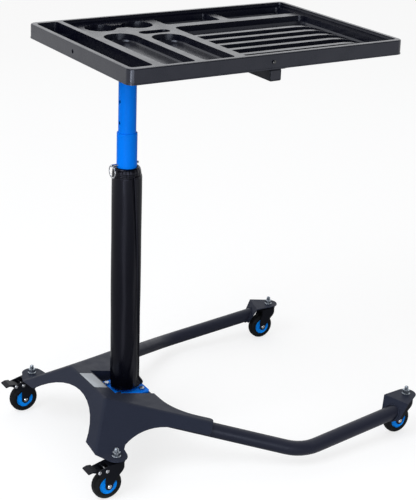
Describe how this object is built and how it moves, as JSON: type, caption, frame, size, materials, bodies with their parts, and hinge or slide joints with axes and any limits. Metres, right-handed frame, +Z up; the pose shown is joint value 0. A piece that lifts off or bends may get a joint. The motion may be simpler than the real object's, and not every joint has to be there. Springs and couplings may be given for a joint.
{
  "type": "mobile workshop table",
  "caption": "Mobile workshop table: moulded compartment tray on a pinned telescopic column over a low U-shaped base on swivel casters.",
  "frame": {"origin": "on the floor under the middle of the table's outline", "axes": "+X along the tray's long side away from the column, +Y to the back, +Z up"},
  "size_m": [0.9344, 0.752, 1.0477],
  "materials": {
    "grey_coat": "dark grey textured powder coat",
    "blue_coat": "blue semi-gloss powder coat",
    "black_coat": "black coated steel",
    "tray_plastic": "black moulded plastic with a soft sheen",
    "wheel_plastic": "blue moulded plastic",
    "rubber": "black rubber",
    "sleeve_cloth": "black coated cloth over foam",
    "zinc": "bright zinc plate"
  },
  "bodies": {
    "base": {"base_cover": "grey_coat", "front_outrigger_tube": "grey_coat", "back_outrigger_tube": "grey_coat", "front_caster_bracket": "grey_coat", "back_caster_bracket": "grey_coat", "column_flange": "blue_coat", "column_tube": "blue_coat", "column_sleeve": "sleeve_cloth", "front_left_flange_bolt": "zinc", "front_left_caster_head": "black_coat", "front_left_caster_stud": "zinc", "front_left_caster_nut": "zinc", "back_left_flange_bolt": "zinc", "back_left_caster_head": "black_coat", "back_left_caster_stud": "zinc", "back_left_caster_nut": "zinc", "front_right_flange_bolt": "zinc", "front_right_caster_head": "black_coat", "front_right_caster_stud": "zinc", "front_right_caster_nut": "zinc", "back_right_flange_bolt": "zinc", "back_right_caster_head": "black_coat", "back_right_caster_stud": "zinc", "back_right_caster_nut": "zinc"},
    "mast": {"mast_tube": "blue_coat", "mast_head_plate": "black_coat", "main_arm": "black_coat", "cross_arm": "black_coat", "main_strap": "black_coat", "cross_strap": "black_coat", "tray": "tray_plastic", "front_tray_screw": "zinc", "back_tray_screw": "zinc", "front_arm_plug": "tray_plastic", "back_arm_plug": "tray_plastic"},
    "locking_pin": {"locking_pin": "zinc"},
    "pin_ring": {"pin_ring": "zinc"},
    "front_left_caster": {"front_left_fork": "black_coat", "front_left_axle": "zinc", "front_left_pedal_pin": "zinc", "front_left_brake_rivet": "zinc"},
    "front_left_wheel": {"front_left_wheel_disc": "wheel_plastic", "front_left_tyre": "rubber"},
    "front_left_pedal": {"front_left_pedal": "black_coat"},
    "back_left_caster": {"back_left_fork": "black_coat", "back_left_axle": "zinc", "back_left_pedal_pin": "zinc", "back_left_brake_rivet": "zinc"},
    "back_left_wheel": {"back_left_wheel_disc": "wheel_plastic", "back_left_tyre": "rubber"},
    "back_left_pedal": {"back_left_pedal": "black_coat"},
    "front_right_caster": {"front_right_fork": "black_coat", "front_right_axle": "zinc"},
    "front_right_wheel": {"front_right_wheel_disc": "wheel_plastic", "front_right_tyre": "rubber"},
    "back_right_caster": {"back_right_fork": "black_coat", "back_right_axle": "zinc"},
    "back_right_wheel": {"back_right_wheel_disc": "wheel_plastic", "back_right_tyre": "rubber"}
  },
  "joints": [
    {"name": "tray_lift", "type": "slide", "parent": "base", "child": "mast", "axis": [0, 0, 1], "range_m": [-0.104, 0.208]},
    {"name": "pin_pull", "type": "slide", "parent": "base", "child": "locking_pin", "axis": [-1, 0, 0], "range_m": [0, 0.075]},
    {"name": "ring_swing", "type": "hinge", "parent": "locking_pin", "child": "pin_ring", "pos_m": [-0.27375, 0, 0.7455], "axis": [0, 1, 0], "range_deg": [0, 100]},
    {"name": "front_left_swivel", "type": "hinge", "parent": "base", "child": "front_left_caster", "pos_m": [-0.38425, -0.243, 0.095], "axis": [0, 0, 1], "continuous": true},
    {"name": "front_left_roll", "type": "hinge", "parent": "front_left_caster", "child": "front_left_wheel", "pos_m": [-0.41125, -0.243, 0.0375], "axis": [0, 1, 0], "continuous": true},
    {"name": "front_left_brake", "type": "hinge", "parent": "front_left_caster", "child": "front_left_pedal", "pos_m": [-0.43725, -0.243, 0.0823], "axis": [0, -1, 0], "range_deg": [0, 14]},
    {"name": "back_left_swivel", "type": "hinge", "parent": "base", "child": "back_left_caster", "pos_m": [-0.38425, 0.243, 0.095], "axis": [0, 0, 1], "continuous": true},
    {"name": "back_left_roll", "type": "hinge", "parent": "back_left_caster", "child": "back_left_wheel", "pos_m": [-0.41125, 0.243, 0.0375], "axis": [0, 1, 0], "continuous": true},
    {"name": "back_left_brake", "type": "hinge", "parent": "back_left_caster", "child": "back_left_pedal", "pos_m": [-0.43725, 0.243, 0.0823], "axis": [0, -1, 0], "range_deg": [0, 14]},
    {"name": "front_right_swivel", "type": "hinge", "parent": "base", "child": "front_right_caster", "pos_m": [0.44075, -0.326, 0.095], "axis": [0, 0, 1], "continuous": true},
    {"name": "front_right_roll", "type": "hinge", "parent": "front_right_caster", "child": "front_right_wheel", "pos_m": [0.41375, -0.326, 0.0375], "axis": [0, 1, 0], "continuous": true},
    {"name": "back_right_swivel", "type": "hinge", "parent": "base", "child": "back_right_caster", "pos_m": [0.44075, 0.326, 0.095], "axis": [0, 0, 1], "continuous": true},
    {"name": "back_right_roll", "type": "hinge", "parent": "back_right_caster", "child": "back_right_wheel", "pos_m": [0.41375, 0.326, 0.0375], "axis": [0, 1, 0], "continuous": true}
  ]
}
